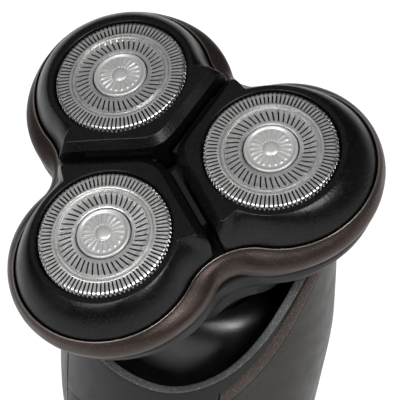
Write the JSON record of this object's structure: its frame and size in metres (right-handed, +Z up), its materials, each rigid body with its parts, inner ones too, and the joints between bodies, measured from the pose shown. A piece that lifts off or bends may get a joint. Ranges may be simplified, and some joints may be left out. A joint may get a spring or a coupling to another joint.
{
  "type": "electric shaver",
  "caption": "Rotary electric shaver: trefoil shaving head with floating slotted guards and tilting petals, on a two-way tilting neck over a tapered free-standing handle with a scooped collar.",
  "frame": {"origin": "middle of the handle's flat base, on the handle's axis", "axes": "+Z up along the handle, -Y towards the front of the handle, where the power button is, and +X to the right of the front"},
  "size_m": [0.0656, 0.0602, 0.1543],
  "materials": {
    "shell": "satin grey-bronze",
    "bronze": "satin metallic bronze",
    "black_gloss": "satin, fine sparkle",
    "panel": "satin",
    "window": "gloss, smoked",
    "chamber": "satin",
    "guard_steel": "fine brushed",
    "cap_metal": "satin nickel",
    "steel": "machined",
    "brass": "bright",
    "copper": "wound copper",
    "nylon": "natural",
    "inner_black": "matte",
    "rubber": "matte",
    "board": "solder mask",
    "wrap": "shrink wrap",
    "button": "satin"
  },
  "bodies": {
    "handle": {"rear_shell": "shell", "front_panel": "panel", "display_window": "window", "bronze_trim": "bronze", "scoop_collar": "black_gloss", "base_cap": "shell", "base_screws": "steel", "charging_socket": "inner_black", "socket_pins": "brass", "chassis": "inner_black", "battery": "wrap", "battery_tabs": "steel", "circuit_board": "board", "tact_switch": "inner_black", "button_seal": "rubber", "motor": "steel", "motor_bracket": "steel", "motor_screws": "steel", "neck_post": "inner_black", "neck_seal": "rubber"},
    "power_button": {"power_button": "button"},
    "motor_rotor": {"motor_shaft": "steel", "rotor_core": "copper", "cross_pin": "steel"},
    "gimbal": {"gimbal_ring": "steel", "gimbal_pins": "steel"},
    "head": {"gear_carrier": "chamber", "drive_housing": "chamber", "drive_bush": "brass", "hair_chamber": "chamber"},
    "head_drive": {"drive_sleeve": "nylon", "sun_gear": "nylon"},
    "lid": {"lid_frame": "black_gloss", "head_band": "bronze"},
    "front_spindle": {"front_spindle": "nylon", "front_spring": "steel"},
    "front_petal": {"front_petal": "black_gloss", "front_retainer": "inner_black"},
    "front_guard": {"front_guard": "guard_steel", "front_cap": "cap_metal"},
    "front_cutter": {"front_cutter": "steel", "front_driver": "nylon"},
    "right_spindle": {"right_spindle": "nylon", "right_spring": "steel"},
    "right_petal": {"right_petal": "black_gloss", "right_retainer": "inner_black"},
    "right_guard": {"right_guard": "guard_steel", "right_cap": "cap_metal"},
    "right_cutter": {"right_cutter": "steel", "right_driver": "nylon"},
    "left_spindle": {"left_spindle": "nylon", "left_spring": "steel"},
    "left_petal": {"left_petal": "black_gloss", "left_retainer": "inner_black"},
    "left_guard": {"left_guard": "guard_steel", "left_cap": "cap_metal"},
    "left_cutter": {"left_cutter": "steel", "left_driver": "nylon"}
  },
  "joints": [
    {"name": "power_button_press", "type": "slide", "parent": "handle", "child": "power_button", "axis": [0, 1, 0], "range_m": [0, 0.0005], "stiffness_N_per_m": 150, "springref_m": -0.001},
    {"name": "motor_spin", "type": "hinge", "parent": "handle", "child": "motor_rotor", "pos_m": [0, 0, 0.12], "axis": [0, 0, 1], "continuous": true},
    {"name": "head_pitch", "type": "hinge", "parent": "handle", "child": "gimbal", "pos_m": [0, 0, 0.12], "axis": [1, 0, 0], "range_deg": [-3, 3], "stiffness_Nm_per_rad": 0.8},
    {"name": "head_roll", "type": "hinge", "parent": "gimbal", "child": "head", "pos_m": [0, 0, 0.12], "axis": [0, 0.9563, 0.2924], "range_deg": [-3, 3], "stiffness_Nm_per_rad": 0.8},
    {"name": "head_drive_spin", "type": "hinge", "parent": "head", "child": "head_drive", "pos_m": [0, 0, 0.12], "axis": [0, -0.2924, 0.9563], "continuous": true},
    {"name": "lid_pull", "type": "slide", "parent": "head", "child": "lid", "axis": [0, -0.2924, 0.9563], "range_m": [0, 0.012]},
    {"name": "front_spindle_spin", "type": "hinge", "parent": "head", "child": "front_spindle", "pos_m": [0, -0.02141, 0.13018], "axis": [0, -0.2924, 0.9563], "continuous": true},
    {"name": "front_petal_tilt", "type": "hinge", "parent": "lid", "child": "front_petal", "pos_m": [0, -0.02416, 0.13917], "axis": [1, 0, 0], "range_deg": [-3, 3], "stiffness_Nm_per_rad": 0.03},
    {"name": "front_guard_float", "type": "slide", "parent": "front_petal", "child": "front_guard", "axis": [0, -0.36, 0.933], "range_m": [-0.0012, 0], "stiffness_N_per_m": 200, "springref_m": 0.001, "deforming": ["front_spring"]},
    {"name": "front_cutter_spin", "type": "hinge", "parent": "front_guard", "child": "front_cutter", "pos_m": [0, -0.02551, 0.14357], "axis": [0, -0.36, 0.933], "continuous": true},
    {"name": "right_spindle_spin", "type": "hinge", "parent": "head", "child": "right_spindle", "pos_m": [0.01516, 0.00369, 0.13786], "axis": [0, -0.2924, 0.9563], "continuous": true},
    {"name": "right_petal_tilt", "type": "hinge", "parent": "lid", "child": "right_petal", "pos_m": [0.01516, 0.00094, 0.14685], "axis": [-0.5, 0.8282, 0.2532], "range_deg": [-3, 3], "stiffness_Nm_per_rad": 0.03},
    {"name": "right_guard_float", "type": "slide", "parent": "right_petal", "child": "right_guard", "axis": [0.0619, -0.2574, 0.9643], "range_m": [-0.0012, 0], "stiffness_N_per_m": 200, "springref_m": 0.001, "deforming": ["right_spring"]},
    {"name": "right_cutter_spin", "type": "hinge", "parent": "right_guard", "child": "right_cutter", "pos_m": [0.01516, -0.0004, 0.15125], "axis": [0.0619, -0.2574, 0.9643], "continuous": true},
    {"name": "left_spindle_spin", "type": "hinge", "parent": "head", "child": "left_spindle", "pos_m": [-0.01516, 0.00369, 0.13786], "axis": [0, -0.2924, 0.9563], "continuous": true},
    {"name": "left_petal_tilt", "type": "hinge", "parent": "lid", "child": "left_petal", "pos_m": [-0.01516, 0.00094, 0.14685], "axis": [-0.5, -0.8282, -0.2532], "range_deg": [-3, 3], "stiffness_Nm_per_rad": 0.03},
    {"name": "left_guard_float", "type": "slide", "parent": "left_petal", "child": "left_guard", "axis": [-0.0619, -0.2574, 0.9643], "range_m": [-0.0012, 0], "stiffness_N_per_m": 200, "springref_m": 0.001, "deforming": ["left_spring"]},
    {"name": "left_cutter_spin", "type": "hinge", "parent": "left_guard", "child": "left_cutter", "pos_m": [-0.01516, -0.0004, 0.15125], "axis": [-0.0619, -0.2574, 0.9643], "continuous": true}
  ],
  "couplings": [
    {"joint": "head_drive_spin", "follows": "motor_spin", "ratio": 1},
    {"joint": "front_spindle_spin", "follows": "motor_spin", "ratio": -1.6923},
    {"joint": "front_cutter_spin", "follows": "motor_spin", "ratio": -1.6923},
    {"joint": "right_spindle_spin", "follows": "motor_spin", "ratio": -1.6923},
    {"joint": "right_cutter_spin", "follows": "motor_spin", "ratio": -1.6923},
    {"joint": "left_spindle_spin", "follows": "motor_spin", "ratio": -1.6923},
    {"joint": "left_cutter_spin", "follows": "motor_spin", "ratio": -1.6923}
  ]
}
